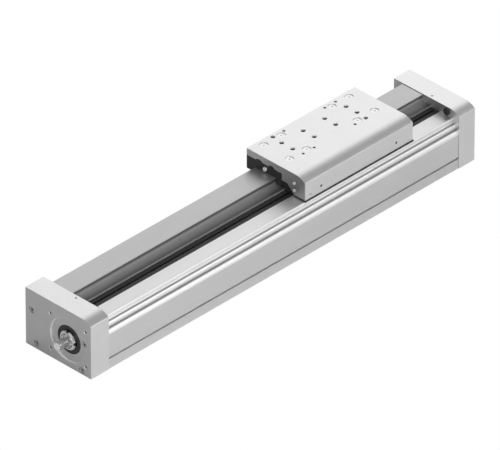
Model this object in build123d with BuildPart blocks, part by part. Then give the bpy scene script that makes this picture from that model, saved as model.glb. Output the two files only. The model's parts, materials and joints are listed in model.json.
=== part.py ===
from build123d import *
import math
import os

os.makedirs("parts", exist_ok=True)

# Millimetres. X runs along the axis from the drive end, Y to the rail side and Z up from the
# mounting face. The origin lies under the middle of the whole length, drive stub included.

# Whole axis
half_width = 59.3
cap_height = 87.0
drive_cap_length = 32.6
profile_length = 647.7
end_cap_length = 29.7
stub_length = 20.7
total_length = stub_length + drive_cap_length + profile_length + end_cap_length
drive_face_x = stub_length - total_length / 2
profile_start_x = drive_face_x + drive_cap_length
profile_end_x = profile_start_x + profile_length
end_face_x = profile_end_x + end_cap_length

# Clearances
running_gap = 0.5
seat_gap = 0.05

# Long soft arc on the right top edge of the caps and of the carriage
arc_radius = 31.5
arc_width = 18.4
arc_drop = arc_radius - math.sqrt(arc_radius**2 - arc_width**2)
crease_chamfer = 0.5

# Profile
profile_half_width = 58.5
land_z = 75.8
flange_z = 73.6
slot_left_y = -7.8
slot_right_y = -24.5
slot_middle_y = (slot_left_y + slot_right_y) / 2
slot_depth = 30.0
side_slot_z = 16.4
side_slot_width = 3.2
side_slot_lip = 1.6
side_pocket_width = 6.6
side_pocket_depth = 3.4
bottom_slot_y = 28.0
bottom_slot_width = 8.2
bottom_slot_lip = 4.0
bottom_pocket_width = 14.0
bottom_pocket_depth = 5.5
chamber_radius = 4.0
chamber_floor_z = 16.0
rail_chamber_y = 27.5
rail_chamber_width = 29.0
rail_chamber_top_z = 65.0
spindle_chamber_width = 48.0
spindle_chamber_top_z = 67.6

# Ribbed right corner of the profile, each step by its width inwards and its drop
side_bend_width = 5.9
side_bend_drop = 6.6
groove_depth = 1.8
groove_height = 1.5
groove_lean = 0.5
rib_bend_width = 4.2
rib_bend_drop = 6.0
shelf_width = 0.9
shelf_drop = 0.6
wall_drop = 4.2
wall_lean = 0.4
flange_bend_width = 1.9

# Shoulder beside the rail on the left, above the left corner's bend
shoulder_width = 4.0

# Guide rail with raceways, closed above by a thin strip
rail_y = 25.3
rail_width = 37.0
rail_bottom_z = 74.6
rail_top_z = 86.0
rail_strip_thickness = 0.4
rail_strip_inset = 0.5
raceway_depth = 2.2
raceway_top_z = 84.2
raceway_bottom_z = 79.6
raceway_flat = 1.6
rail_edge_chamfer = 0.5

# Cap screws and their channels in the profile
small_head = 4.25
small_head_length = 5.0
small_socket = 4.0
screw_channel_radius = 2.5
bore_gap = 0.5

# Slot lips
lip_gap = 3.2
lip_thickness = 1.6
lip_taper = 0.5
lip_bead_inset = 1.0
lip_drop = 0.3
lip_bead_depth = 1.8
lip_bead_height = 2.6

# Spindle and drive end
spindle_y = -17.4
spindle_z = 40.7
screw_radius = 10.0
screw_lead = 25.0
ball_groove_depth = 1.7
ball_groove_reach = 1.2
groove_half_angle = 28.0
groove_length = 520.0
groove_start_x = -248.0
journal_radius = 8.5
stub_radius = 6.0
support_radius = 6.0
recess_radius = 31.5
recess_depth = 2.5
recess_chamfer = 0.5
bearing_radius = 20.0
bearing_start = 4.0
bearing_end = 28.0
bearing_ring = 2.6
cover_ring_radius = 20.8
cover_ring_gap = 0.5
inner_ring_radius = 11.4
nut_radius = 14.0
nut_front = -2.2
nut_back = 3.4
nut_rim_chamfer = 2.0
nut_slot_width = 4.4
nut_slot_depth = 2.0
motor_thread_pitch_y = 64.0
motor_thread_pitch_z = 54.0
motor_thread_radius = 2.5
motor_thread_depth = 14.0

# Support bearing in the end cap
support_bearing_radius = 16.0
support_bearing_width = 9.0
support_ring = 2.2
support_inner_radius = 8.4
support_bore_depth = 12.0
support_end_reach = 2.4

# Cap screws by place on the end faces
cap_screw_places = [(48.1, 56.6), (39.7, 8.9), (-42.6, 6.4), (-47.2, 47.6)]
cap_screw_sink = 0.8
grub_y = -5.2
grub_inset = 5.0
grub_radius = 1.6
grub_length = 5.0
grub_depth = 7.0

# Buffers
buffer_y = -37.5
buffer_z = 80.2
buffer_radius = 5.0
buffer_reach = 2.5

# Carriage
carriage_start = 404.6
carriage_front_x = drive_face_x + carriage_start
carriage_length = 201.0
carriage_left_y = 59.3
carriage_width = 106.0
carriage_top_z = 108.4
carriage_right_y = carriage_left_y - carriage_width
carriage_middle_x = carriage_front_x + carriage_length / 2
plate_bottom_z = 98.2
skirt_step_z = 88.0
skirt_bottom_z = 75.2
carriage_end_x = carriage_front_x + carriage_length

# Runner blocks, each with a ball-return cover at both ends, and the mouldings outside them
block_length = 44.8
block_half_width = 29.0
block_side_gap = 0.9
block_bottom_z = 78.2
block_cap_length = 7.0
block_cap_inset = 0.5
moulding_length = 6.8
moulding_gap = 0.8
block_offset_x = carriage_length / 2 - moulding_length - moulding_gap - block_cap_length - block_length / 2

# Inside of the skirt, its wall beside the blocks, its step above the slot and its foot beside it
skirt_step_reach = 1.65
skirt_foot_gap = 2.0
skirt_wall_y = rail_y - block_half_width - block_side_gap
skirt_step_y = slot_middle_y + skirt_step_reach
skirt_foot_y = slot_right_y - skirt_foot_gap
skirt_slope = (skirt_step_z - skirt_bottom_z) / (skirt_step_y - skirt_foot_y)

# Black seal under the skirt's foot
seal_lift = 0.4
seal_side_inset = 0.4
seal_foot_inset = 0.6

# Holes in the carriage, all paired about the rail's middle and the carriage's middle
block_screw_pitch = 32.0
block_screw_x = (block_offset_x + block_screw_pitch / 2, block_offset_x - block_screw_pitch / 2)
block_screw_y = 23.1
counterbore_radius = 6.0
counterbore_depth = 6.0
low_head_radius = 5.7
low_head_length = 5.2
low_socket = 2.6
thread_pitch_x = 40.0
thread_row_y = 10.0
top_thread_radius = 3.4
top_thread_depth = 9.2
small_hole_inset = (42.1, 62.3)
small_hole_y = 27.6
small_hole_radius = 2.1
wide_hole_radius = 3.2
small_hole_depth = 8.0
side_hole_depth = 6.0
side_hole_inset = 30.5
side_hole_z = 84.6
side_hole_radius = 2.1
side_oval_inset = 10.2
side_oval_z = 81.6
side_oval_length = 5.0
side_oval_width = 2.0
port_y = -26.8
port_plug_z = (93.3, 82.3)
port_plug_radius = 2.2
port_plug_proud = 0.6
port_plug_sink = 5.0
port_hole_z = 88.0
port_hole_radius = 1.7
port_hole_depth = 8.0

# End mouldings and slot wipers
moulding_bottom_z = 77.7
moulding_half_width_left = carriage_left_y - rail_y
moulding_half_width_right = 29.8
lobe_y = 11.2
lobe_half_width = 5.8
lobe_rise = 2.5
lobe_gap = 0.4
lobe_radius = (lobe_half_width**2 + lobe_rise**2) / (2 * lobe_rise)
wiper_inset = 1.2
wiper_length = 7.0
wiper_bottom_z = 74.3
wiper_land_z = 76.5
wiper_side_gap = 0.2
wiper_slot_gap = 0.7
wiper_foot_gap = 0.6
wiper_top_gap = 0.4
wiper_left_y = skirt_wall_y - wiper_side_gap
wiper_step_y = slot_left_y - wiper_slot_gap
wiper_right_y = skirt_foot_y + wiper_foot_gap
moulding_screw_z = 91.6
moulding_screw_width = 5.5
moulding_screw_length = 2.2

# Ball nut and its bracket
nut_body_radius = 15.0
nut_flange_radius = 21.0
nut_flange_length = 7.0
nut_flange_flat = 18.0
nut_body_length = 46.0
nut_bore_gap = 0.4
bracket_length = 52.0
bracket_half = 18.6
bracket_chamfer = 3.0
web_thickness = 2.4
foot_bottom_z = 78.0
foot_side_gap = 0.8
foot_left_y = skirt_wall_y - foot_side_gap
foot_right_y = slot_middle_y - web_thickness / 2


def save(part, name):
    """Label a finished piece and write it."""
    part.label = name
    export_step(part, "parts/" + name + ".step")


def socket_head(head_radius, head_length, socket_width):
    """Head of a socket screw with its seat on z = 0."""
    with BuildPart() as screw:
        Cylinder(head_radius, head_length, align=(Align.CENTER, Align.CENTER, Align.MIN))
        with BuildSketch(Plane.XY.offset(head_length)):
            RegularPolygon(socket_width / 2, 6, major_radius=False)
        extrude(amount=-head_length / 2, mode=Mode.SUBTRACT)
    return screw.part


def quarter_bend(start_y, start_z, width, drop):
    """Points of a convex bend that leaves level and ends upright, further right and lower."""
    share = math.sin(math.radians(45))
    middle = (start_y - width * share, start_z - drop * (1 - share))
    return (start_y, start_z), middle, (start_y - width, start_z - drop)


def end_section(bottom_z, left_y, right_y, top_z):
    """Lines of a rectangle whose right top edge is the long soft arc."""
    arc_start = (right_y + arc_width, top_z)
    arc_end = (right_y, top_z - arc_drop)
    arc_turn = math.asin(arc_width / arc_radius) / 2
    arc_centre = (arc_start[0], top_z - arc_radius)
    arc_middle = (
        arc_centre[0] - arc_radius * math.sin(arc_turn),
        arc_centre[1] + arc_radius * math.cos(arc_turn),
    )
    Polyline((right_y, bottom_z), (left_y, bottom_z), (left_y, top_z), arc_start)
    ThreePointArc(arc_start, arc_middle, arc_end)
    Line(arc_end, (right_y, bottom_z))


def rail_section(grow):
    """Lines of the rail's section, grown outwards by the given gap."""
    side = rail_width / 2 + grow
    neck = side - raceway_depth
    top = rail_top_z + grow
    flank = [
        (side, rail_bottom_z),
        (side, raceway_bottom_z + grow),
        (neck, raceway_bottom_z + raceway_flat + grow),
        (neck, raceway_top_z - raceway_flat - grow),
        (side, raceway_top_z - grow),
        (side, top - rail_edge_chamfer),
        (side - rail_edge_chamfer, top),
    ]
    left = [(rail_y + y, z) for y, z in flank]
    right = [(rail_y - y, z) for y, z in reversed(flank)]
    Polyline(*left, *right, close=True)


# Profile
side_y = profile_half_width
seat_left_y = rail_y + rail_width / 2 + seat_gap
seat_right_y = rail_y - rail_width / 2 - seat_gap
groove_edge_y = -side_y + side_bend_width
rib_edge_y = groove_edge_y + groove_lean
shelf_y = rib_edge_y + rib_bend_width - groove_lean
wall_y = shelf_y + shelf_width
flange_edge_y = wall_y - wall_lean + flange_bend_width
groove_bottom_z = flange_z - flange_bend_width - wall_drop - shelf_drop - rib_bend_drop - groove_height
flange_bend = quarter_bend(flange_edge_y, flange_z, flange_bend_width, flange_bend_width)
rib_bend = quarter_bend(shelf_y, groove_bottom_z + groove_height + rib_bend_drop, rib_bend_width, rib_bend_drop)
side_bend = quarter_bend(groove_edge_y, groove_bottom_z, side_bend_width, side_bend_drop)
left_bend = [(-y, z) for y, z in quarter_bend(groove_edge_y, flange_z, side_bend_width, side_bend_drop)]
shoulder_y = seat_left_y + shoulder_width
with BuildPart() as profile:
    with BuildSketch(Plane.YZ.offset(profile_start_x)):
        with BuildLine():
            Polyline((-side_y, 0), (side_y, 0), left_bend[2])
            ThreePointArc(*left_bend)
            Polyline(
                left_bend[0],
                (shoulder_y, flange_z),
                (shoulder_y, land_z),
                (seat_left_y, land_z),
                (seat_left_y, rail_bottom_z),
                (seat_right_y, rail_bottom_z),
                (seat_right_y, land_z),
                (slot_left_y, land_z),
                (slot_left_y, flange_z),
                (flange_edge_y, flange_z),
            )
            ThreePointArc(*flange_bend)
            Polyline(flange_bend[2], (wall_y, rib_bend[0][1] + shelf_drop), rib_bend[0])
            ThreePointArc(*rib_bend)
            Polyline(
                rib_bend[2],
                (groove_edge_y + groove_depth, groove_bottom_z + groove_height),
                (groove_edge_y + groove_depth, groove_bottom_z),
                side_bend[0],
            )
            ThreePointArc(*side_bend)
            Line(side_bend[2], (-side_y, 0))
        make_face()
        with Locations((rail_chamber_y, (chamber_floor_z + rail_chamber_top_z) / 2)):
            RectangleRounded(
                rail_chamber_width,
                rail_chamber_top_z - chamber_floor_z,
                chamber_radius,
                mode=Mode.SUBTRACT,
            )
        with Locations((spindle_y, (chamber_floor_z + spindle_chamber_top_z) / 2)):
            RectangleRounded(
                spindle_chamber_width,
                spindle_chamber_top_z - chamber_floor_z,
                chamber_radius,
                mode=Mode.SUBTRACT,
            )
        with Locations((slot_middle_y, spindle_chamber_top_z)):
            Rectangle(slot_left_y - slot_right_y, slot_depth, mode=Mode.SUBTRACT)
        with Locations((slot_middle_y, flange_z - lip_drop - lip_thickness - lip_bead_height / 2)):
            Rectangle(
                slot_left_y - slot_right_y + 2 * lip_bead_depth,
                lip_bead_height,
                mode=Mode.SUBTRACT,
            )
        for side in (-1, 1):
            with Locations((side * side_y, side_slot_z)):
                Rectangle(2 * side_slot_lip, side_slot_width, mode=Mode.SUBTRACT)
            with Locations((side * (side_y - side_slot_lip - side_pocket_depth / 2), side_slot_z)):
                Rectangle(side_pocket_depth, side_pocket_width, mode=Mode.SUBTRACT)
            with Locations((side * bottom_slot_y, bottom_slot_lip / 2)):
                Rectangle(bottom_slot_width, bottom_slot_lip, mode=Mode.SUBTRACT)
            with Locations((side * bottom_slot_y, bottom_slot_lip + bottom_pocket_depth / 2)):
                Rectangle(bottom_pocket_width, bottom_pocket_depth, mode=Mode.SUBTRACT)
        with Locations(cap_screw_places):
            Circle(screw_channel_radius, mode=Mode.SUBTRACT)
    extrude(amount=profile_length)
save(profile.part, "profile")

# Guide rail
with BuildPart() as guide_rail:
    with BuildSketch(Plane.YZ.offset(profile_start_x)):
        with BuildLine():
            rail_section(0)
        make_face()
        with Locations((rail_y, rail_top_z)):
            Rectangle(rail_width, 2 * rail_strip_thickness, mode=Mode.SUBTRACT)
    extrude(amount=profile_length)
save(guide_rail.part, "guide_rail")

# Strip on the rail's top
with BuildPart() as rail_cover_strip:
    with BuildSketch(Plane.YZ.offset(profile_start_x)):
        with Locations((rail_y, rail_top_z - rail_strip_thickness / 2)):
            Rectangle(rail_width - 2 * rail_strip_inset, rail_strip_thickness)
    extrude(amount=profile_length)
save(rail_cover_strip.part, "rail_cover_strip")

# Slot lips
lip_top_z = flange_z - lip_drop
lip_bottom_z = lip_top_z - lip_thickness
for name, wall_y, side in (("slot_lip_left", slot_left_y, 1), ("slot_lip_right", slot_right_y, -1)):
    edge_y = slot_middle_y + side * lip_gap / 2
    with BuildPart() as slot_lip:
        with BuildSketch(Plane.YZ.offset(profile_start_x)):
            with BuildLine():
                Polyline(
                    (edge_y, lip_top_z),
                    (wall_y, lip_top_z),
                    (wall_y, lip_bottom_z),
                    (wall_y + side * lip_bead_depth, lip_bottom_z),
                    (wall_y + side * lip_bead_depth, lip_bottom_z - lip_bead_height),
                    (wall_y - side * lip_bead_inset, lip_bottom_z - lip_bead_height),
                    (wall_y - side * lip_bead_inset, lip_bottom_z),
                    (edge_y, lip_bottom_z + lip_taper),
                    close=True,
                )
            make_face()
        extrude(amount=profile_length)
    save(slot_lip.part, name)


def cap_body(start_x, length):
    """Cap block with its long soft arc, to be added to a cap."""
    with BuildPart() as block:
        with BuildSketch(Plane.YZ.offset(start_x)):
            with BuildLine():
                end_section(0, half_width, -half_width, cap_height)
            make_face()
        extrude(amount=length)
        crease = block.edges().filter_by(Axis.X).sort_by(Axis.Y)[0:2].sort_by(Axis.Z)[-1]
        chamfer(crease, crease_chamfer)
    return block.part


def cut_cylinder(start_x, end_x, radius):
    """Round bore about the spindle between two stations of the axis."""
    with Locations(Location(((start_x + end_x) / 2, spindle_y, spindle_z), (0, 90, 0))):
        Cylinder(radius, end_x - start_x, mode=Mode.SUBTRACT)


cap_head_bore = small_head + bore_gap
cap_seat_sink = small_head_length + cap_screw_sink
screw_turn = {-1: (0, -90, 0), 1: (0, 90, 0)}

# Drive cap
with BuildPart() as drive_cap:
    add(cap_body(drive_face_x, drive_cap_length))
    cut_cylinder(drive_face_x, drive_face_x + recess_depth, recess_radius)
    with Locations(Location((drive_face_x + recess_chamfer / 2, spindle_y, spindle_z), screw_turn[-1])):
        Cone(recess_radius, recess_radius + recess_chamfer, recess_chamfer, mode=Mode.SUBTRACT)
    cut_cylinder(drive_face_x, drive_face_x + bearing_start, cover_ring_radius)
    cut_cylinder(drive_face_x, drive_face_x + bearing_end, bearing_radius)
    cut_cylinder(drive_face_x, profile_start_x, bearing_radius - bearing_ring)
    with Locations([Location((drive_face_x, y, z), screw_turn[-1]) for y, z in cap_screw_places]):
        Hole(cap_head_bore, depth=cap_seat_sink)
    motor_thread_places = [
        (spindle_y + side * motor_thread_pitch_y / 2, spindle_z + level * motor_thread_pitch_z / 2)
        for side in (-1, 1)
        for level in (-1, 1)
    ]
    with Locations([Location((drive_face_x, y, z), screw_turn[-1]) for y, z in motor_thread_places]):
        Hole(motor_thread_radius, depth=motor_thread_depth)
    with Locations((profile_start_x - grub_inset, grub_y, cap_height)):
        Hole(grub_radius, depth=grub_depth)
save(drive_cap.part, "drive_cap")

# End cap
with BuildPart() as end_cap:
    add(cap_body(profile_end_x, end_cap_length))
    cut_cylinder(profile_end_x, profile_end_x + support_bore_depth, support_bearing_radius)
    with Locations([Location((end_face_x, y, z), screw_turn[1]) for y, z in cap_screw_places]):
        Hole(cap_head_bore, depth=cap_seat_sink)
    with Locations((profile_end_x + grub_inset, grub_y, cap_height)):
        Hole(grub_radius, depth=grub_depth)
save(end_cap.part, "end_cap")

# Heads of the cap screws
cap_screw = socket_head(small_head, small_head_length, small_socket)
for name, face_x, side in (("drive_cap_screws", drive_face_x, -1), ("end_cap_screws", end_face_x, 1)):
    seat_x = face_x - side * cap_seat_sink
    with BuildPart() as cap_screws:
        with Locations([Location((seat_x, y, z), screw_turn[side]) for y, z in cap_screw_places]):
            add(cap_screw)
    save(cap_screws.part, name)

# Grub screws in the cap tops
with BuildPart() as cap_grub_screws:
    for grub_x in (profile_start_x - grub_inset, profile_end_x + grub_inset):
        with Locations((grub_x, grub_y, cap_height - grub_depth)):
            Cylinder(grub_radius, grub_length, align=(Align.CENTER, Align.CENTER, Align.MIN))
save(cap_grub_screws.part, "cap_grub_screws")

# Buffers on the inner faces of the caps
for name, face_x, side in (("drive_buffer", profile_start_x, 1), ("end_buffer", profile_end_x, -1)):
    with BuildPart() as buffer:
        with BuildSketch(Plane.YZ.offset(face_x)):
            with Locations((buffer_y, buffer_z)):
                Circle(buffer_radius)
        extrude(amount=side * buffer_reach)
    save(buffer.part, name)


def ring(name, start_x, length, outer, inner):
    """Plain ring about the spindle, written as its own piece."""
    with BuildPart() as piece:
        with BuildSketch(Plane.YZ.offset(start_x)):
            with Locations((spindle_y, spindle_z)):
                Circle(outer)
                Circle(inner, mode=Mode.SUBTRACT)
        extrude(amount=length)
    save(piece.part, name)


# Bearings, outer rings on the caps and inner rings on the spindle
bearing_length = bearing_end - bearing_start
bearing_x = drive_face_x + bearing_start
outer_ring_inner = bearing_radius - bearing_ring
ring("drive_bearing_outer", bearing_x, bearing_length, bearing_radius, outer_ring_inner)
inner_ring_x = drive_face_x + nut_back
ring(
    "drive_bearing_inner",
    inner_ring_x,
    bearing_end - nut_back,
    inner_ring_radius,
    journal_radius,
)
ring(
    "support_bearing_outer",
    profile_end_x,
    support_bearing_width,
    support_bearing_radius,
    support_bearing_radius - support_ring,
)
ring(
    "support_bearing_inner",
    profile_end_x,
    support_bearing_width,
    support_inner_radius,
    support_radius,
)

# Black ring in front of the bearing
with BuildPart() as bearing_cover_ring:
    with BuildSketch(Plane.YZ.offset(drive_face_x + recess_depth)):
        with Locations((spindle_y, spindle_z)):
            Circle(cover_ring_radius)
            Circle(nut_radius + cover_ring_gap, mode=Mode.SUBTRACT)
    extrude(amount=bearing_start - recess_depth)
save(bearing_cover_ring.part, "bearing_cover_ring")

# Slotted lock nut
with BuildPart() as lock_nut:
    with BuildSketch(Plane.YZ.offset(drive_face_x + nut_front)):
        with Locations((spindle_y, spindle_z)):
            Circle(nut_radius)
            Circle(journal_radius, mode=Mode.SUBTRACT)
    extrude(amount=nut_back - nut_front)
    nut_rims = lock_nut.edges().filter_by(GeomType.CIRCLE).group_by(Axis.X)[0]
    chamfer(nut_rims, nut_rim_chamfer)
    with BuildSketch(Plane.YZ.offset(drive_face_x + nut_front)):
        with Locations((spindle_y, spindle_z)):
            with PolarLocations(nut_radius, 4):
                Rectangle(2 * nut_slot_depth, nut_slot_width)
    extrude(amount=nut_back - nut_front, mode=Mode.SUBTRACT)
save(lock_nut.part, "lock_nut")

# Ball screw, turned about X with its stations measured from the drive face
stub_chamfer = 1.0
neck_radius = 5.2
neck_length = 3.6
journal_front = 0.6
journal_chamfer = 0.6
support_end_x = profile_end_x + support_bearing_width + support_end_reach
with BuildPart() as ball_screw:
    with BuildSketch(Plane.XY):
        with BuildLine():
            Polyline(
                (drive_face_x - stub_length, 0),
                (drive_face_x - stub_length, stub_radius - stub_chamfer),
                (drive_face_x - stub_length + stub_chamfer, stub_radius),
                (drive_face_x + journal_front - neck_length, stub_radius),
                (drive_face_x + journal_front - neck_length, neck_radius),
                (drive_face_x + journal_front, neck_radius),
                (drive_face_x + journal_front, journal_radius - journal_chamfer),
                (drive_face_x + journal_front + journal_chamfer, journal_radius),
                (drive_face_x + bearing_end, journal_radius),
                (drive_face_x + bearing_end, screw_radius),
                (profile_end_x, screw_radius),
                (profile_end_x, support_radius),
                (support_end_x, support_radius),
                (support_end_x, 0),
                close=True,
            )
        make_face()
    revolve(axis=Axis.X)

# Helical ball groove, a twisted tool taken out of the shaft
groove_corner = screw_radius + ball_groove_reach
corner_x = groove_corner * math.cos(math.radians(groove_half_angle))
corner_y = groove_corner * math.sin(math.radians(groove_half_angle))
with BuildSketch() as groove_section:
    with BuildLine():
        Polyline(
            (screw_radius - ball_groove_depth, 0),
            (corner_x, corner_y),
            (groove_corner + ball_groove_reach, 0),
            (corner_x, -corner_y),
            close=True,
        )
    make_face()
groove_tool = Solid.extrude_linear_with_rotation(
    groove_section.sketch.faces()[0],
    (0, 0, 0),
    (0, 0, groove_length),
    360 * groove_length / screw_lead,
)
with BuildPart(Plane.YZ.offset(groove_start_x)) as grooved:
    add(groove_tool)
with BuildPart() as ball_screw_placed:
    with Locations((0, spindle_y, spindle_z)):
        add(ball_screw.part - grooved.part)
save(ball_screw_placed.part, "ball_screw")

# Carriage plate
with BuildPart() as carriage_plate:
    with BuildSketch(Plane.YZ.offset(carriage_front_x)):
        with BuildLine():
            end_section(skirt_bottom_z, carriage_left_y, carriage_right_y, carriage_top_z)
        make_face()
        with BuildLine():
            Polyline(
                (skirt_foot_y, skirt_bottom_z),
                (skirt_step_y, skirt_step_z),
                (skirt_wall_y, skirt_step_z),
                (skirt_wall_y, plate_bottom_z),
                (carriage_left_y, plate_bottom_z),
                (carriage_left_y, skirt_bottom_z),
                close=True,
            )
        make_face(mode=Mode.SUBTRACT)
    extrude(amount=carriage_length)
    plate_crease = carriage_plate.edges().filter_by(Axis.X).sort_by(Axis.Y)[0:2].sort_by(Axis.Z)[-1]
    chamfer(plate_crease, crease_chamfer)
    for end_x, side in ((carriage_front_x, 1), (carriage_end_x, -1)):
        for lobe in (-1, 1):
            lobe_centre = (end_x, rail_y + lobe * lobe_y, plate_bottom_z + lobe_rise - lobe_radius)
            with Locations(Location(lobe_centre, (0, 90, 0))):
                Cylinder(
                    lobe_radius + lobe_gap,
                    2 * (moulding_length + lobe_gap),
                    mode=Mode.SUBTRACT,
                )
        with Locations(Location((end_x, port_y, port_hole_z), (0, -90 * side, 0))):
            Hole(port_hole_radius, depth=port_hole_depth)
        with Locations([Location((end_x, port_y, z), (0, -90 * side, 0)) for z in port_plug_z]):
            Hole(port_plug_radius, depth=port_plug_sink)
    with Locations((carriage_middle_x, rail_y, carriage_top_z)):
        block_screw_places = [
            (x * side, y)
            for x in block_screw_x
            for side in (-1, 1)
            for y in (-block_screw_y, block_screw_y)
        ]
        with Locations(block_screw_places):
            Hole(counterbore_radius, depth=counterbore_depth)
        with GridLocations(thread_pitch_x, 2 * thread_row_y, 4, 2):
            Hole(top_thread_radius, depth=top_thread_depth)
        for inset in small_hole_inset:
            for side in (-1, 1):
                for row in (-1, 1):
                    wide = inset == small_hole_inset[0] and side != row
                    with Locations(((carriage_length / 2 - inset) * side, small_hole_y * row)):
                        Hole(wide_hole_radius if wide else small_hole_radius, depth=small_hole_depth)
    side_hole_places = [
        Location((x, carriage_right_y, side_hole_z), (90, 0, 0))
        for x in (carriage_front_x + side_hole_inset, carriage_end_x - side_hole_inset)
    ]
    with Locations(side_hole_places):
        Hole(side_hole_radius, depth=side_hole_depth)
    with BuildSketch(Plane.XZ.offset(-carriage_right_y)):
        with Locations((carriage_front_x + side_oval_inset, side_oval_z)):
            SlotOverall(side_oval_length, side_oval_width)
    extrude(amount=-side_oval_width, mode=Mode.SUBTRACT)
save(carriage_plate.part, "carriage_plate")


def block_piece(start_x, length, half_left, half_right, bottom_z, top_z):
    """Piece of the carriage that rides over the rail, open below around it."""
    with BuildPart() as piece:
        with BuildSketch(Plane.YZ.offset(start_x)):
            with Locations((rail_y + (half_left - half_right) / 2, (bottom_z + top_z) / 2)):
                Rectangle(half_left + half_right, top_z - bottom_z)
            with BuildLine():
                rail_section(running_gap)
            make_face(mode=Mode.SUBTRACT)
        extrude(amount=length)
    return piece.part


# Runner blocks with their ball-return covers, end mouldings and slot wipers
wiper_top_y = skirt_step_y + wiper_top_gap
for name, side in (("front", -1), ("rear", 1)):
    middle_x = carriage_middle_x + side * block_offset_x
    block_start_x = middle_x - block_length / 2
    moulding_start_x = carriage_front_x if side < 0 else carriage_end_x - moulding_length
    with BuildPart() as runner_block:
        add(
            block_piece(
                block_start_x,
                block_length,
                block_half_width,
                block_half_width,
                block_bottom_z,
                plate_bottom_z,
            )
        )
    save(runner_block.part, name + "_runner_block")

    with BuildPart() as block_caps:
        for cap_x in (block_start_x - block_cap_length, block_start_x + block_length):
            add(
                block_piece(
                    cap_x,
                    block_cap_length,
                    block_half_width - block_cap_inset,
                    block_half_width - block_cap_inset,
                    block_bottom_z,
                    plate_bottom_z - block_cap_inset,
                )
            )
    save(block_caps.part, name + "_block_caps")

    with BuildPart() as end_moulding:
        add(
            block_piece(
                moulding_start_x,
                moulding_length,
                moulding_half_width_left,
                moulding_half_width_right,
                moulding_bottom_z,
                plate_bottom_z,
            )
        )
        with BuildSketch(Plane.YZ.offset(moulding_start_x)):
            for lobe in (-1, 1):
                lobe_middle_y = rail_y + lobe * lobe_y
                with BuildLine():
                    ThreePointArc(
                        (lobe_middle_y - lobe_half_width, plate_bottom_z),
                        (lobe_middle_y, plate_bottom_z + lobe_rise),
                        (lobe_middle_y + lobe_half_width, plate_bottom_z),
                    )
                    Line(
                        (lobe_middle_y - lobe_half_width, plate_bottom_z),
                        (lobe_middle_y + lobe_half_width, plate_bottom_z),
                    )
                make_face()
        extrude(amount=moulding_length)
    save(end_moulding.part, name + "_end_moulding")

    if side < 0:
        wiper_start_x = carriage_front_x + wiper_inset
    else:
        wiper_start_x = carriage_end_x - wiper_inset - wiper_length
    with BuildPart() as slot_wiper:
        with BuildSketch(Plane.YZ.offset(wiper_start_x)):
            with BuildLine():
                Polyline(
                    (wiper_left_y, wiper_land_z),
                    (wiper_left_y, skirt_step_z),
                    (wiper_top_y, skirt_step_z),
                    (wiper_right_y, skirt_step_z - skirt_slope * (wiper_top_y - wiper_right_y)),
                    (wiper_right_y, wiper_bottom_z),
                    (wiper_step_y, wiper_bottom_z),
                    (wiper_step_y, wiper_land_z),
                    close=True,
                )
            make_face()
        extrude(amount=wiper_length)
    save(slot_wiper.part, name + "_slot_wiper")

# Seal under the skirt's foot
with BuildPart() as skirt_seal:
    with BuildSketch(Plane.YZ.offset(carriage_front_x)):
        with BuildLine():
            Polyline(
                (carriage_right_y + seal_side_inset, flange_z + seal_lift),
                (skirt_foot_y - seal_foot_inset, flange_z + seal_lift),
                (skirt_foot_y - seal_foot_inset, skirt_bottom_z),
                (carriage_right_y + seal_side_inset, skirt_bottom_z),
                close=True,
            )
        make_face()
    extrude(amount=carriage_length)
save(skirt_seal.part, "skirt_seal")

# Heads of the screws that hold the runner blocks
low_screw = socket_head(low_head_radius, low_head_length, low_socket)
with BuildPart() as block_screws:
    with Locations((carriage_middle_x, rail_y, carriage_top_z - counterbore_depth)):
        with Locations(block_screw_places):
            add(low_screw)
save(block_screws.part, "block_screws")

# Hexagon heads on the end mouldings
with BuildPart() as moulding_screws:
    for end_x, side in ((carriage_front_x, -1), (carriage_end_x, 1)):
        with BuildSketch(Plane.YZ.offset(end_x)):
            with Locations((rail_y, moulding_screw_z)):
                RegularPolygon(moulding_screw_width / 2, 6, major_radius=False)
        extrude(amount=side * moulding_screw_length)
save(moulding_screws.part, "moulding_screws")

# Plugs of the grease ports on both ends of the skirt
with BuildPart() as port_plugs:
    for end_x, side in ((carriage_front_x, -1), (carriage_end_x, 1)):
        with BuildSketch(Plane.YZ.offset(end_x + side * port_plug_proud)):
            with Locations([(port_y, z) for z in port_plug_z]):
                Circle(port_plug_radius)
        extrude(amount=-side * (port_plug_sink + port_plug_proud))
save(port_plugs.part, "port_plugs")

# Ball nut, its flange flattened on two sides
nut_start_x = carriage_middle_x - bracket_length / 2
with BuildPart() as ball_nut:
    with BuildSketch(Plane.YZ.offset(nut_start_x)):
        with Locations((spindle_y, spindle_z)):
            Circle(nut_body_radius)
    extrude(amount=nut_body_length)
    with BuildSketch(Plane.YZ.offset(nut_start_x)):
        with Locations((spindle_y, spindle_z)):
            Circle(nut_flange_radius)
            Rectangle(2 * nut_flange_flat, 2 * nut_flange_radius, mode=Mode.INTERSECT)
    extrude(amount=-nut_flange_length)
    with BuildSketch(Plane.YZ.offset(nut_start_x - nut_flange_length)):
        with Locations((spindle_y, spindle_z)):
            Circle(screw_radius + nut_bore_gap)
    extrude(amount=nut_flange_length + nut_body_length, mode=Mode.SUBTRACT)
save(ball_nut.part, "ball_nut")

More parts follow.
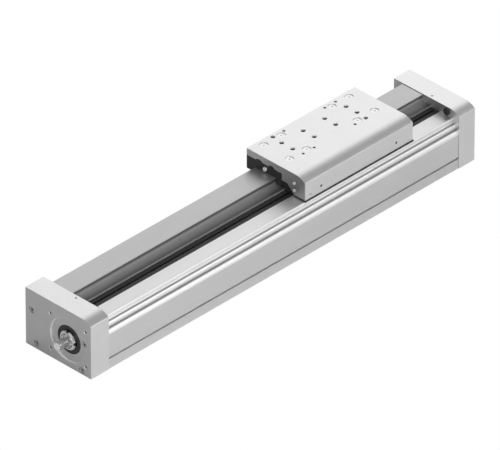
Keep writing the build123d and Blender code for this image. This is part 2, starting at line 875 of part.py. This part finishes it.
# Bracket from the nut up through the slot to the carriage plate
foot_top_y = skirt_step_y + wiper_top_gap
with BuildPart() as nut_bracket:
    with BuildSketch(Plane.YZ.offset(nut_start_x)):
        with Locations((spindle_y, spindle_z)):
            housing = Rectangle(2 * bracket_half, 2 * bracket_half)
        chamfer(housing.vertices(), bracket_chamfer)
        with BuildLine():
            Polyline(
                (foot_right_y + web_thickness, spindle_z),
                (foot_right_y + web_thickness, foot_bottom_z),
                (foot_left_y, foot_bottom_z),
                (foot_left_y, skirt_step_z),
                (foot_top_y, skirt_step_z),
                (foot_right_y, skirt_step_z - skirt_slope * (foot_top_y - foot_right_y)),
                (foot_right_y, spindle_z),
                close=True,
            )
        make_face()
        with Locations((spindle_y, spindle_z)):
            Circle(nut_body_radius + seat_gap, mode=Mode.SUBTRACT)
    extrude(amount=bracket_length)
save(nut_bracket.part, "nut_bracket")
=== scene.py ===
import json
import math

import bmesh
import bpy
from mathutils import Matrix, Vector


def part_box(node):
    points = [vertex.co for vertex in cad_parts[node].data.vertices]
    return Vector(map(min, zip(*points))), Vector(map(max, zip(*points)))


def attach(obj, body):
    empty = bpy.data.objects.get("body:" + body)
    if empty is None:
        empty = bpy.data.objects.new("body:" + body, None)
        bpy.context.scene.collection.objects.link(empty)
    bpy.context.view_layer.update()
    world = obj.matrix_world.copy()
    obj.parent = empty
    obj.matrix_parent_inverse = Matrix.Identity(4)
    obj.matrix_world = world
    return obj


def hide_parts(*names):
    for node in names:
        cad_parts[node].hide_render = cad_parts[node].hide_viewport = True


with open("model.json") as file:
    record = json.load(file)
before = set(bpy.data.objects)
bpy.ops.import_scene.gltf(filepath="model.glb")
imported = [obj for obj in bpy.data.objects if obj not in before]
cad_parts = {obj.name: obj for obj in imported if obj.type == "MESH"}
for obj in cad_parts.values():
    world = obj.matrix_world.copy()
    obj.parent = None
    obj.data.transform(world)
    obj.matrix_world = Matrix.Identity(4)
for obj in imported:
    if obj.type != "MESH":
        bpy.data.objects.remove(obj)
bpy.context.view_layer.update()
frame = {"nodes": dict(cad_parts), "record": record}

# Places from the frame, in metres
nodes = frame["nodes"]
mounts = {mount["name"]: mount for mount in frame["record"]["mounts"]}
spindle_y, spindle_z = mounts["shaft_end"]["pos_m"][1:]
carriage_middle = Vector(mounts["carriage_top"]["pos_m"])
drive_low, drive_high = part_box("drive_cap")
end_low, end_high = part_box("end_cap")
plate_low, plate_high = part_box("carriage_plate")
profile_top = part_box("profile")[1].z
rail_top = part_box("guide_rail")[1].z
left_lip_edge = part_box("slot_lip_left")[0].y
cover_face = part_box("bearing_cover_ring")[0].x
nut_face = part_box("lock_nut")[0].x
shaft_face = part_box("ball_screw")[0].x
end_screw_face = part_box("end_cap_screws")[0].x

millimetre = 0.001
clear_of_caps = 0.0010
white = (1.0, 1.0, 1.0, 1.0)


# Shader maths
class Value:
    """A shader output that takes part in plain arithmetic."""

    def __init__(self, shading, socket):
        self.shading = shading
        self.socket = socket

    def _math(self, operation, *terms):
        return self.shading.node("ShaderNodeMath", {"operation": operation}, dict(enumerate(terms)))

    def __add__(self, other):
        return self._math("ADD", self, other)

    def __radd__(self, other):
        return self._math("ADD", other, self)

    def __sub__(self, other):
        return self._math("SUBTRACT", self, other)

    def __rsub__(self, other):
        return self._math("SUBTRACT", other, self)

    def __mul__(self, other):
        return self._math("MULTIPLY", self, other)

    def __rmul__(self, other):
        return self._math("MULTIPLY", other, self)

    def __truediv__(self, other):
        return self._math("DIVIDE", self, other)

    def __rtruediv__(self, other):
        return self._math("DIVIDE", other, self)

    def __pow__(self, other):
        return self._math("POWER", self, other)

    def __rpow__(self, other):
        return self._math("POWER", other, self)

    def above(self, edge):
        """1 where the value is greater than an edge, 0 elsewhere."""
        return self._math("GREATER_THAN", self, edge)

    def below(self, edge):
        """1 where the value is less than an edge, 0 elsewhere."""
        return self._math("LESS_THAN", self, edge)

    def between(self, low, high):
        """1 between two edges, 0 elsewhere."""
        return self.above(low) * self.below(high)

    def clamp(self):
        """The value, kept from 0 to 1."""
        return self._math("MAXIMUM", self._math("MINIMUM", self, 1.0), 0.0)


def grey(brightness):
    """Neutral colour of one brightness."""
    return (brightness, brightness, brightness)


def shared(first, second, share):
    """Two noises as one from 0 to 1, of which the first takes a share."""
    return (first * share + second * (1 - share)).clamp()


class Shading:
    """The nodes of a material or of the world."""

    def __init__(self, owner):
        owner.use_nodes = True
        self.tree = owner.node_tree

    def feed(self, socket, value):
        """Links a socket to a worked out value, or sets it to a plain one."""
        if isinstance(value, Value):
            self.tree.links.new(value.socket, socket)
        else:
            socket.default_value = value

    def node(self, kind, settings=None, inputs=None, output=0):
        """Any shader node: its settings first, then its inputs by name or number."""
        made = self.tree.nodes.new(kind)
        for key, value in (settings or {}).items():
            setattr(made, key, value)
        for key, value in (inputs or {}).items():
            self.feed(made.inputs[key], value)
        return Value(self, made.outputs[output])

    def white_to_camera(self, kind, lit, output_node):
        """Plain white to the camera and a lit shader to all other rays."""
        surface = self.tree.nodes[output_node].inputs["Surface"]
        camera_ray = self.node("ShaderNodeLightPath", output="Is Camera Ray")
        glow = self.node(kind, inputs={"Color": white, "Strength": 1.0})
        self.feed(surface, self.node("ShaderNodeMixShader", inputs={0: camera_ray, 1: lit, 2: glow}))


class Finish(Shading):
    """A material whose Principled shader is filled in by name."""

    def __init__(self, name, colour, metallic, roughness):
        self.material = bpy.data.materials.new(name)
        super().__init__(self.material)
        self.shader = self.tree.nodes["Principled BSDF"]
        self.put("Base Color", (*colour, 1.0))
        self.put("Metallic", metallic)
        self.put("Roughness", roughness)

    def put(self, name, value):
        """Sets or links one input of the Principled shader."""
        self.feed(self.shader.inputs[name], value)

    def place(self):
        """Position on the piece, in its own metres."""
        return self.node("ShaderNodeTexCoord", output="Object")

    def along(self, axis):
        """One coordinate of the position on the piece."""
        return self.node("ShaderNodeSeparateXYZ", inputs={0: self.place()}, output=axis)

    def from_spindle(self):
        """Distance from the spindle's axis."""
        beside = self.along(1) - spindle_y
        over = self.along(2) - spindle_z
        return (beside * beside + over * over) ** 0.5

    def noise(self, vector, detail, roughness=0.5):
        """Soft noise from 0 to 1 over a vector."""
        inputs = {"Vector": vector, "Scale": 1.0, "Detail": detail, "Roughness": roughness}
        return self.node("ShaderNodeTexNoise", inputs=inputs)

    def grain(self, along, across=None, down=None, detail=3.0):
        """Noise in turns per metre along, across and down the piece, where one number serves all."""
        across = across or along
        inputs = {0: self.place(), 1: (along, across, down or across)}
        stretched = self.node("ShaderNodeVectorMath", {"operation": "MULTIPLY"}, inputs)
        return self.noise(stretched, detail, roughness=0.6)

    def blend(self, amount, first, second):
        """Colour between two colours, each plain or worked out before."""
        colours = [one if isinstance(one, Value) else (*one, 1.0) for one in (first, second)]
        # Inputs 6 and 7 and output 2 of a Mix node are its colours
        inputs = {0: amount, 6: colours[0], 7: colours[1]}
        return self.node("ShaderNodeMix", {"data_type": "RGBA"}, inputs, output=2)

    def greys(self, tone, dark, pale):
        """Neutral colour that follows a tone from dark to pale."""
        return self.blend(tone, grey(dark), grey(pale))

    def roughen(self, pattern, least, spread, extra=0.0):
        """Roughness that follows a pattern, with something extra in places."""
        self.put("Roughness", pattern * spread + extra + least)

    def bump(self, pattern, height):
        """Normal that follows a pattern of one height in metres."""
        inputs = {"Height": pattern, "Distance": height, "Strength": 1.0}
        self.put("Normal", self.node("ShaderNodeBump", inputs=inputs))

    def follow(self, pattern, dark, pale, least, spread, height):
        """Colour, roughness and relief that all follow one pattern."""
        self.put("Base Color", self.blend(pattern.clamp(), dark, pale))
        self.roughen(pattern, least, spread)
        self.bump(pattern, height)


# Finishes of the pieces
def anodised_extrusion():
    """Satin anodised extrusion with faint draw lines along its length, with painted highlight on the ribs
    and the slot's riser and painted shade in the groove, on the shelf and on the land.
    """
    finish = Finish("anodised_extrusion", grey(0.71), metallic=0.85, roughness=0.4)
    lines = finish.grain(along=6.0, across=2600.0)
    clouds = finish.grain(along=14.0, across=40.0)
    tone = shared(lines, clouds, share=0.6)
    drawn = finish.greys(tone, dark=0.66, pale=0.80)
    # Painted highlight: a paler tone for the ribbed corner and the slot's riser
    rib_and_riser_highlight = finish.greys(tone, dark=0.88, pale=0.98)
    # Painted shade on the land beside the rail, darkest towards the slot
    painted_tone = finish.greys(tone, dark=0.37, pale=0.51)
    land_deep_shade = finish.greys(tone, dark=0.11, pale=0.19)
    # Painted shade in the groove and along the shelf of the ribbed corner
    groove_shade = finish.greys(tone, dark=0.32, pale=0.44)
    shelf_shade = finish.greys(tone, dark=0.34, pale=0.46)

    rib_side = -0.0459
    rib_foot = 0.0526
    groove_band = (0.0584, 0.0594)
    shelf_band = (0.0654, 0.0668)
    slot_wall = (-0.0079, -0.0077)
    slot_wall_foot = 0.0730
    land_skin = 0.00005
    shade_edge = -0.0050
    shade_fade = 0.0080
    across = finish.along(1)
    height = finish.along(2)
    ribs = across.below(rib_side) * height.above(rib_foot)
    riser = across.between(*slot_wall) * height.above(slot_wall_foot)
    land = height.above(profile_top - land_skin)
    # Painted shade: the land fades to its darkest tone towards the slot
    land_painted_shade = finish.blend(((across - shade_edge) / shade_fade).clamp(), land_deep_shade, painted_tone)
    below_groove = finish.blend(height.between(*shelf_band), rib_and_riser_highlight, shelf_shade)
    corner = finish.blend(height.between(*groove_band), below_groove, groove_shade)
    walls = finish.blend(riser, drawn, rib_and_riser_highlight)
    # Painted highlight on the ribs and the riser, painted shade in the groove, on the shelf and on the
    # land
    finish.put("Base Color", finish.blend(land, finish.blend(ribs, walls, corner), land_painted_shade))
    finish.roughen(lines, least=0.34, spread=0.16, extra=ribs * 0.12 + land * 0.2)
    finish.bump(lines, height=0.00002)
    return finish.material


def blasted_aluminium():
    """Bead blasted and anodised aluminium of the caps, the carriage and the nut's bracket, with painted
    shade on the end faces, the recess floor and the top edges' arcs and a painted highlight on the recess
    wall.
    """
    finish = Finish("blasted_aluminium", grey(0.78), metallic=0.85, roughness=0.42)
    pits = finish.grain(2200.0)
    clouds = finish.grain(30.0)
    tone = shared(pits, clouds, share=0.5)
    blasted = finish.greys(tone, dark=0.72, pale=0.84)
    # Painted shade for the end faces, the recess floor and the arcs of the top edges
    face_shade_tone = finish.greys(tone, dark=0.55, pale=0.66)
    # Painted highlight for the recess wall
    turned = finish.greys(tone, dark=0.93, pale=0.99)

    skin = 0.0001
    recess_radius = 0.0315
    recess_edge = 0.0006
    past_recess_floor = 0.00065
    arc_drop = 0.0058
    arc_fade = 0.0014
    carriage_arc_width = 0.0182
    cap_arc_width = 0.0184
    along = finish.along(0)
    across = finish.along(1)
    height = finish.along(2)
    spoke = finish.from_spindle()

    in_recess = along.below(cover_face + past_recess_floor)
    recess = spoke.between(recess_radius - skin, recess_radius + recess_edge) * in_recess
    shaded_faces = spoke.below(recess_radius - skin) * in_recess
    for face in (drive_low.x, drive_high.x, end_low.x, end_high.x, plate_low.x, plate_high.x):
        shaded_faces = shaded_faces + along.between(face - skin, face + skin)

    def arc(start, top):
        """1 on the arc of a right top edge, fading out below the flat top."""
        fading = ((top - height) / arc_fade).clamp()
        return across.below(start) * height.above(top - arc_drop) * fading

    in_caps = along.below(drive_high.x + clear_of_caps) + along.above(end_low.x - clear_of_caps)
    on_caps = in_caps * arc(drive_low.y + cap_arc_width, drive_high.z)
    arcs = arc(plate_low.y + carriage_arc_width, plate_high.z) + on_caps
    # Painted shade on the arcs of the right top edges
    arc_shade_tone = finish.blend(arcs, blasted, face_shade_tone)
    finish.put("Base Color", finish.blend(recess, finish.blend(shaded_faces.clamp(), arc_shade_tone, face_shade_tone), turned))
    # Less metal in the recess wall, so that its painted highlight reads paler
    finish.put("Metallic", 0.85 - recess * 0.6)
    finish.roughen(pits, least=0.34, spread=0.12)
    finish.bump(pits, height=0.00003)
    return finish.material


def ground_steel():
    """Ground steel of the guide rail and its cover strip, with grinding lines along them."""
    finish = Finish("ground_steel", grey(0.5), metallic=0.8, roughness=0.36)
    lines = finish.grain(along=9.0, across=3800.0, detail=4.0)
    clouds = finish.grain(along=22.0, across=60.0)
    tone = shared(lines, clouds, share=0.7)
    top = finish.greys(tone, dark=0.42, pale=0.56)
    # Painted shade: the flanks above the foot, where the raceways run, are darker than the top
    raceway_shade = finish.greys(tone, dark=0.17, pale=0.26)
    foot = finish.greys(tone, dark=0.40, pale=0.54)

    foot_height = 0.0800
    skin = 0.0001
    height = finish.along(2)
    flank = finish.blend(height.above(foot_height), foot, raceway_shade)
    finish.put("Base Color", finish.blend(height.above(rail_top - skin), flank, top))
    finish.roughen(lines, least=0.28, spread=0.2)
    finish.bump(lines, height=0.00002)
    return finish.material


def block_steel():
    """Dark ground steel of the runner blocks and the ball nut."""
    finish = Finish("block_steel", (0.42, 0.42, 0.43), metallic=0.9, roughness=0.34)
    dark = (0.36, 0.36, 0.37)
    pale = (0.5, 0.5, 0.51)
    lines = finish.grain(along=60.0, across=3000.0)
    finish.follow(lines, dark, pale, least=0.26, spread=0.2, height=0.00002)
    return finish.material


def turned_steel():
    """Bright turned steel of the spindle and its bearings, with fine rings round the axis, a painted
    highlight on the shaft's end face and the nut's rim and a painted shadow in the nut's seat ring.
    """
    finish = Finish("turned_steel", grey(0.72), metallic=1.0, roughness=0.2)
    rings_outwards = 2400.0
    rings_along = 5200.0
    seat_ring = (0.0086, 0.0108)
    rim_radius = 0.0112
    skin = 0.00035
    spoke = finish.from_spindle()
    along = finish.along(0)
    rings = finish.noise(spoke * rings_outwards + along * rings_along, detail=2.0)
    bright = finish.greys(rings.clamp(), dark=0.66, pale=0.86)
    # Painted highlight for the shaft's end face and the nut's rim, with less metal there so that it reads
    # paler
    painted_tone = finish.greys(rings.clamp(), dark=0.90, pale=1.0)

    on_nut_face = along.below(nut_face + skin)
    # Painted shadow: a dark ring on the nut's face round the shaft
    seat_shadow = spoke.between(*seat_ring) * on_nut_face
    faces = (along.below(shaft_face + skin) + spoke.above(rim_radius) * on_nut_face).clamp()
    finish.put("Base Color", finish.blend(seat_shadow, finish.blend(faces, bright, painted_tone), grey(0.10)))
    finish.put("Metallic", 1.0 - faces * 0.6)
    finish.roughen(rings, least=0.12, spread=0.2)
    finish.bump(rings, height=0.00002)
    return finish.material


def plated_screw():
    """Zinc plated screws with a slightly cloudy surface, darker in the caps as painted shade."""
    finish = Finish("plated_screw", grey(0.86), metallic=0.6, roughness=0.3)
    clouds = finish.grain(700.0)
    plated = finish.greys(clouds.clamp(), dark=0.80, pale=0.92)
    # Painted shade for the screw heads in the caps
    cap_screw_shade = finish.greys(clouds.clamp(), dark=0.40, pale=0.54)
    along = finish.along(0)
    in_drive_cap = along.below(drive_high.x + clear_of_caps)
    in_end_face = along.above(end_screw_face - clear_of_caps)
    finish.put("Base Color", finish.blend((in_drive_cap + in_end_face).clamp(), plated, cap_screw_shade))
    finish.roughen(clouds, least=0.2, spread=0.25)
    finish.bump(clouds, height=0.00003)
    return finish.material


def shaded_bore_aluminium():
    """Bored mouths of the tapped holes and floors of the sockets, darker than the blasted faces as
    painted shade.
    """
    finish = Finish("shaded_bore_aluminium", grey(0.38), metallic=0.85, roughness=0.35)
    rings = finish.grain(along=500.0, across=500.0, down=4200.0)
    finish.follow(rings, grey(0.46), grey(0.66), least=0.26, spread=0.2, height=0.00002)
    return finish.material


def pale_zinc_highlight():
    """Pale matt zinc of the moulding screws and the port plugs, paler than the plated screws as painted
    highlight, and a painted highlight on the flange's mouths.
    """
    finish = Finish("pale_zinc_highlight", grey(0.92), metallic=0.3, roughness=0.4)
    clouds = finish.grain(900.0)
    finish.follow(clouds, grey(0.86), grey(0.97), least=0.3, spread=0.2, height=0.00002)
    return finish.material


def thread_shade_finish():
    """Turns of the tapped holes, painted dark as shade below their mouths."""
    finish = Finish("thread_shade_finish", grey(0.03), metallic=0.3, roughness=0.4)
    shade_grain = finish.grain(1800.0)
    finish.follow(shade_grain, grey(0.012), grey(0.06), least=0.25, spread=0.3, height=0.00002)
    return finish.material


def lip_rubber():
    """Matt black lips with fine lines along the slot, the left one rougher on its top."""
    finish = Finish("lip_rubber", grey(0.02), metallic=0.0, roughness=0.6)
    dark = (0.012, 0.012, 0.013)
    pale = (0.035, 0.035, 0.036)
    skin = 0.00005
    lines = finish.grain(along=25.0, across=1900.0)
    on_left_lip = finish.along(1).above(left_lip_edge + skin)
    finish.put("Base Color", finish.blend(lines.clamp(), dark, pale))
    finish.put("Specular IOR Level", 0.38)
    finish.roughen(lines, least=0.45, spread=0.2, extra=on_left_lip * 0.35)
    finish.bump(lines, height=0.00004)
    return finish.material


def moulded_plastic():
    """Black moulded plastic with a fine eroded grain."""
    finish = Finish("moulded_plastic", grey(0.02), metallic=0.0, roughness=0.5)
    dark = (0.010, 0.010, 0.011)
    pale = (0.034, 0.034, 0.036)
    pores = finish.grain(1500.0, detail=4.0)
    finish.follow(pores, dark, pale, least=0.35, spread=0.3, height=0.00005)
    return finish.material


def buffer_rubber():
    """Matt black rubber of the end buffers and the skirt seal."""
    finish = Finish("buffer_rubber", grey(0.015), metallic=0.0, roughness=0.75)
    dust = finish.grain(900.0)
    finish.follow(dust, grey(0.010), grey(0.028), least=0.62, spread=0.2, height=0.00004)
    return finish.material


finishes = {
    "anodised_profile": anodised_extrusion(),
    "machined_aluminium": blasted_aluminium(),
    "ground_rail": ground_steel(),
    "block_steel": block_steel(),
    "bright_steel": turned_steel(),
    "screw_steel": plated_screw(),
    "black_lip": lip_rubber(),
    "black_moulding": moulded_plastic(),
    "black_rubber": buffer_rubber(),
}
shaded_bore = shaded_bore_aluminium()
hole_shade = thread_shade_finish()
zinc_and_highlight = pale_zinc_highlight()
zinc_pieces = ("moulding_screws", "port_plugs")
for subpart in frame["record"]["subparts"]:
    zinc_plated = subpart["node"] in zinc_pieces
    materials = nodes[subpart["node"]].data.materials
    materials.clear()
    materials.append(zinc_and_highlight if zinc_plated else finishes[subpart["material_slot"]])


# Pieces that only the scene holds
def bridge(shape, first, second):
    """Band of four-sided faces between two rows of points."""
    return [shape.faces.new(corners) for corners in zip(first, first[1:], second[1:], second)]


def closed(row):
    """A row of points with its first one again at the end."""
    return [*row, row[0]]


def made_of(name, shape, *materials):
    """Object in the scene made from a shape, with its materials in order."""
    mesh = bpy.data.meshes.new(name)
    shape.to_mesh(mesh)
    shape.free()
    for material in materials:
        mesh.materials.append(material)
    made = bpy.data.objects.new(name, mesh)
    bpy.context.scene.collection.objects.link(made)
    return made


def thread_mouths(mount_name, row, column=None):
    """Middles of a mount's tapped holes, two in a row or four with a column too."""
    mount = mounts[mount_name]
    mouths = [Vector(mount["pos_m"])]
    for direction, spacing in ((row, "spacing_x_mm"), (column, "spacing_y_mm")):
        if direction:
            half = Vector(direction) * (mount["dims"][spacing] * millimetre / 2)
            mouths = [mouth + half * way for mouth in mouths for way in (-1, 1)]
    return mouths


def screw_turns(name, body, mouth_finish, mount_name, mouths, pitch, depth, mouth_depth):
    """Threads cut in a mount's blind holes: a countersunk mouth and turns below it."""
    steps = 40
    skin = 0.00003
    radius = mounts[mount_name]["dims"]["hole_r_mm"] * millimetre
    root = radius - skin
    crest = radius - pitch / 2
    # Two rows to a turn, which stop short of the hole's bottom
    stop_row = int(2 * (depth - mouth_depth) / pitch) - 2
    inwards = -Vector(mounts[mount_name]["axis"])
    across = inwards.orthogonal().normalized()
    beside = inwards.cross(across)

    def reach_and_sink(row, turned):
        """Distance from the hole's axis and depth below its mouth, after a share of a turn."""
        if row < 0:
            return root, skin
        if row == 0:
            return crest, mouth_depth
        return root if row % 2 else crest, mouth_depth + (row / 2 + turned) * pitch

    turns = bmesh.new()
    for mouth in mouths:
        rows = []
        for row in range(-1, stop_row):
            ring = []
            for step in range(steps + 1):
                turned = step / steps
                reach, sink = reach_and_sink(row, turned)
                angle = 2 * math.pi * turned
                spoke = across * math.cos(angle) + beside * math.sin(angle)
                ring.append(turns.verts.new(mouth + inwards * sink + spoke * reach))
            rows.append(ring)
        for row, (upper, lower) in enumerate(zip(rows, rows[1:])):
            for face in bridge(turns, upper, lower):
                face.material_index = min(row, 1)
    # Turns below the mouths are painted dark as the holes' shade
    piece = made_of(name, turns, mouth_finish, hole_shade)
    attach(piece, body)


def tapped_holes():
    """Thread turns in the carriage's top and side and in the motor flange."""
    x_way = (1, 0, 0)
    y_way = (0, 1, 0)
    z_way = (0, 0, 1)
    inner = thread_mouths("carriage_inner_threads", x_way, y_way)
    outer = thread_mouths("carriage_outer_threads", x_way, y_way)
    small = thread_mouths("carriage_small_threads", x_way, y_way)
    corner_x = 0.0584
    corner_y = mounts["carriage_small_threads"]["dims"]["spacing_y_mm"] * millimetre / 2
    corners = [carriage_middle + Vector((corner_x, corner_y, 0)) * way for way in (-1, 1)]
    flange = thread_mouths("motor_flange", y_way, z_way)
    side = thread_mouths("carriage_side_threads", x_way)

    load = {"pitch": 0.00125, "depth": 0.0090, "mouth_depth": 0.0016}
    # The carriage's mouths are painted darker as shade
    screw_turns("load_threads", "carriage", shaded_bore, "carriage_inner_threads", inner + outer, **load)
    fine = {"pitch": 0.0008, "depth": 0.0078, "mouth_depth": 0.0004}
    screw_turns("small_threads", "carriage", shaded_bore, "carriage_small_threads", small + corners, **fine)
    motor = {"pitch": 0.0012, "depth": 0.0138, "mouth_depth": 0.0011}
    # The flange's mouths take the pale zinc as a painted highlight
    screw_turns("flange_threads", "frame", zinc_and_highlight, "motor_flange", flange, **motor)
    shallow = {"pitch": 0.0008, "depth": 0.0058, "mouth_depth": 0.0003}
    screw_turns("side_threads", "carriage", shaded_bore, "carriage_side_threads", side, **shallow)


def socket_floors():
    """Shallow round floors in the sockets of the block screws."""
    steps = 24
    reach = 0.00126
    rim_sink = 0.0003
    dimple_sink = 0.0005
    rings_inwards = ((reach, rim_sink), (reach * 0.7, rim_sink), (reach * 0.5, dimple_sink))
    # Screws from the carriage's middle
    screw_x = (-0.0795, -0.0475, 0.0475, 0.0795)
    screw_y = 0.0231
    screw_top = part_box("block_screws")[1].z
    floors = bmesh.new()
    for along in screw_x:
        for across in (-screw_y, screw_y):
            middle = Vector((carriage_middle.x + along, carriage_middle.y + across, screw_top))
            rings = []
            for radius, sink in rings_inwards:
                ring = []
                for step in range(steps):
                    angle = 2 * math.pi * step / steps
                    spoke = Vector((math.cos(angle), math.sin(angle), 0)) * radius
                    ring.append(floors.verts.new(middle + spoke - Vector((0, 0, sink))))
                rings.append(ring)
            for outer, inner in zip(rings, rings[1:]):
                bridge(floors, closed(outer), closed(inner))
            floors.faces.new(rings[-1])
    # The socket floors take the darker grey as painted shade
    piece = made_of("socket_floors", floors, shaded_bore)
    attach(piece, "carriage")


def skirt_seal_and_shadow():
    """Rubber seal under the carriage's skirt, bent out into a lip along its edge; the bent-out part is a
    black sheet standing in for the shadow under the skirt.
    """
    low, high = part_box("skirt_seal")
    past_ends = 0.0008
    # Out from the CAD's strip and down from it, as painted shadow
    bend = (0.0007, 0.0001)
    tip = (0.0021, 0.0004)
    heel = (0.0015, 0.0007)
    root = 0.0001
    outline = [
        (high.y, high.z),
        (low.y, high.z),
        (low.y - bend[0], high.z - bend[1]),
        (low.y - tip[0], low.z - tip[1]),
        (low.y - heel[0], low.z - heel[1]),
        (low.y + root, low.z),
        (high.y, low.z),
    ]
    start = low.x - past_ends
    stop = high.x + past_ends
    bar = bmesh.new()
    ends = [[bar.verts.new((x, y, z)) for y, z in outline] for x in (start, stop)]
    for end in ends:
        bar.faces.new(end)
    bridge(bar, closed(ends[0]), closed(ends[1]))
    bmesh.ops.recalc_face_normals(bar, faces=bar.faces)
    piece = made_of("skirt_seal_and_shadow", bar, finishes["black_rubber"])
    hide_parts("skirt_seal")
    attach(piece, "carriage")


# Floor, light and camera
def floor():
    """Pale floor that the camera sees as plain white."""
    half_width = 6.0
    gap_below = 0.0005
    plane = bmesh.new()
    bmesh.ops.create_grid(plane, x_segments=1, y_segments=1, size=half_width)
    finish = Finish("floor_white", grey(0.8), metallic=0.0, roughness=0.9)
    lit = Value(finish, finish.shader.outputs[0])
    finish.white_to_camera("ShaderNodeEmission", lit, "Material Output")
    made = made_of("floor", plane, finish.material)
    made.location = (0, 0, -gap_below)


def surroundings():
    """Even pale surroundings, plain white to the camera."""
    strength = 0.33
    world = bpy.data.worlds.new("surroundings")
    bpy.context.scene.world = world
    shading = Shading(world)
    even = shading.tree.nodes["Background"]
    shading.feed(even.inputs["Color"], white)
    shading.feed(even.inputs["Strength"], strength)
    lit = Value(shading, even.outputs[0])
    shading.white_to_camera("ShaderNodeBackground", lit, "World Output")


def put_at(made, place, back):
    """Stands a lamp or the camera at a place, facing away from a direction."""
    bpy.context.scene.collection.objects.link(made)
    made.location = place
    made.rotation_mode = "QUATERNION"
    made.rotation_quaternion = (-back).to_track_quat("-Z", "Y")


def softbox(name, place, aim, width, height, power):
    """Area lamp of a size in metres and a power in watts, turned towards a point."""
    lamp = bpy.data.lights.new(name, "AREA")
    lamp.shape = "RECTANGLE"
    lamp.size = width
    lamp.size_y = height
    lamp.energy = power
    made = bpy.data.objects.new(name, lamp)
    put_at(made, place, Vector(place) - Vector(aim))


def camera():
    """Long lens camera, placed by fitting the object's corners to the photograph."""
    azimuth = math.radians(-45.481)
    elevation = math.radians(34.072)
    distance = 16.854
    aim = Vector((0.00105, 0.0, 0.04445))
    aim_from_middle_px = (-2.549, -0.292)
    photo_width_px = 500
    sensor_width = 36.0
    focal_length = 935.97
    nearest = 1.0
    farthest = 60.0
    level = math.cos(elevation)
    back = Vector((math.sin(azimuth) * level, -math.cos(azimuth) * level, math.sin(elevation)))
    lens = bpy.data.cameras.new("camera")
    lens.sensor_width = sensor_width
    lens.lens = focal_length
    lens.shift_x = -aim_from_middle_px[0] / photo_width_px
    lens.shift_y = aim_from_middle_px[1] / photo_width_px
    lens.clip_start = nearest
    lens.clip_end = farthest
    made = bpy.data.objects.new("camera", lens)
    put_at(made, aim + back * distance, back)
    bpy.context.scene.camera = made


tapped_holes()
socket_floors()
skirt_seal_and_shadow()
floor()
surroundings()
softbox("back_box", place=(1.3, 1.3, 1.25), aim=(0, 0, 0.05), width=2.4, height=1.6, power=12)
softbox("right_box", place=(1.06, -1.22, 0.92), aim=(0, -0.05, 0.03), width=1.8, height=0.9, power=7)
softbox("front_box", place=(-1.85, -0.25, 1.1), aim=(-0.3, -0.05, 0.04), width=2.0, height=0.7, power=1.4)
softbox("side_box", place=(-0.4, -0.95, 0.55), aim=(-0.15, -0.12, 0.03), width=1.2, height=0.5, power=6.5)
camera()
bpy.context.scene.view_settings.view_transform = "Standard"
